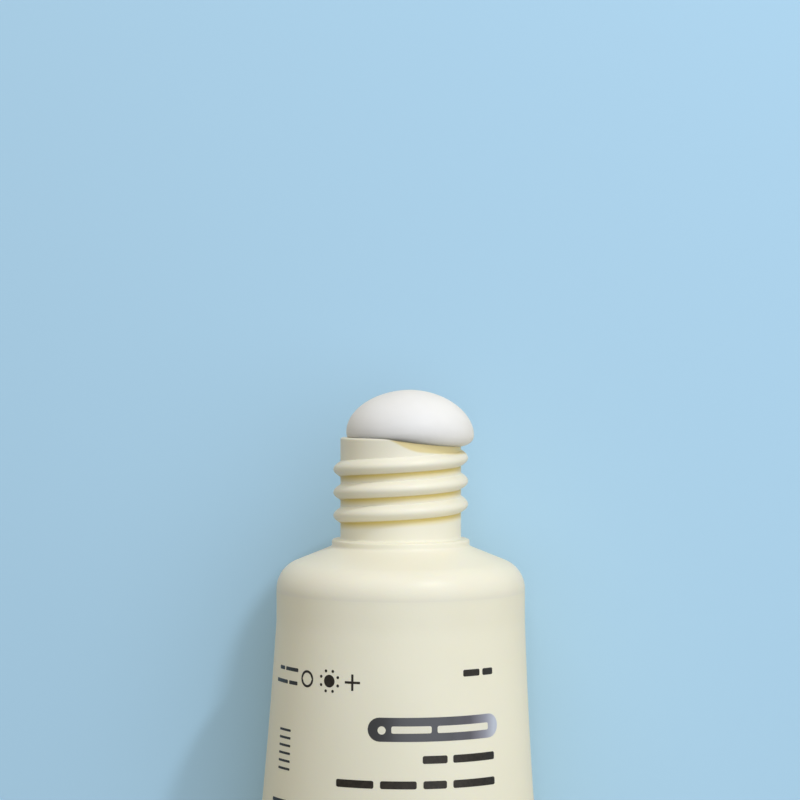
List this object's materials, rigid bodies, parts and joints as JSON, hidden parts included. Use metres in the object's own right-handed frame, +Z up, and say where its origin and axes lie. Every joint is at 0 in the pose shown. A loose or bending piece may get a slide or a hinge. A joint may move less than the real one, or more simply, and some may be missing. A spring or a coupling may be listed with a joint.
{
  "type": "opened squeeze tube of sun cream",
  "caption": "Squeeze tube lying on its back, round at its threaded nozzle and flat at its welded tail, with a dollop of white cream on the open nozzle.",
  "frame": {"origin": "middle of the line along which the back panel touches the floor, at floor level", "axes": "+Y along the floor towards the nozzle, +Z up through the printed front panel, +X across the tube"},
  "size_m": [0.0544, 0.1244, 0.0353],
  "materials": {
    "film": "satin ivory polyethylene film",
    "moulding": "softly shining ivory polyethylene moulding",
    "cream": "moist white cream"
  },
  "bodies": {
    "root": {"sleeve": "film", "head": "moulding", "cream": "cream"}
  },
  "joints": []
}
